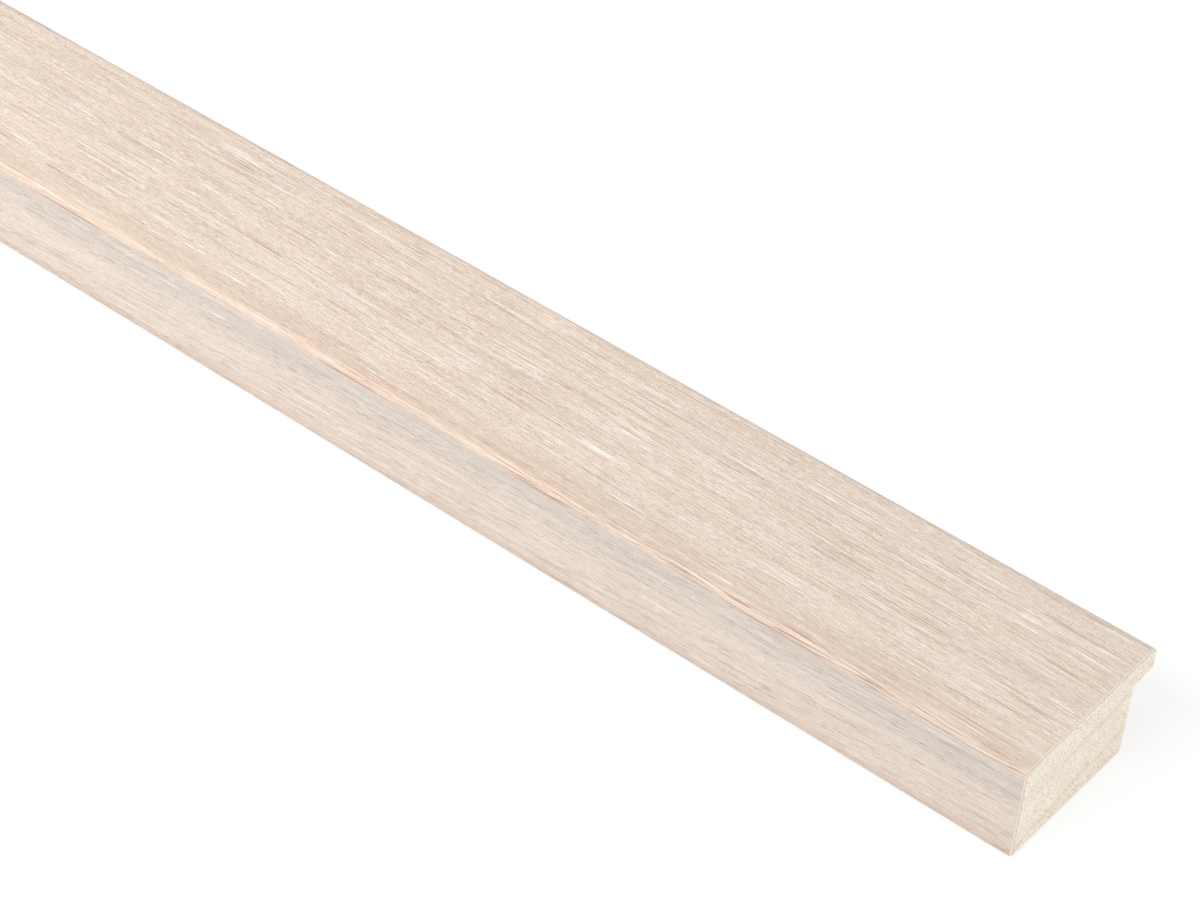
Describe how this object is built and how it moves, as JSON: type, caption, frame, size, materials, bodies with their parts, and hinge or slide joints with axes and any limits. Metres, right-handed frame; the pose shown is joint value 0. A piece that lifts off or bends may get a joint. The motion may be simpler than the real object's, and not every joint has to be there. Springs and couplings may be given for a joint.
{
  "type": "picture frame moulding",
  "caption": "Long stick of rebated wooden picture frame moulding, with a thin veneer wrapped over its outer side and its flat face.",
  "frame": {"origin": "middle of the length and of the width, on the back", "axes": "+X along the length, +Y from the outer side to the sight edge, +Z from the back to the face"},
  "size_m": [2.4, 0.04, 0.0213],
  "materials": {
    "core_wood": "bare sawn and planed pale hardwood",
    "limed_veneer": "open-grain veneer with a thin white wash, matt"
  },
  "bodies": {
    "root": {"core": "core_wood", "veneer": "limed_veneer"}
  },
  "joints": []
}
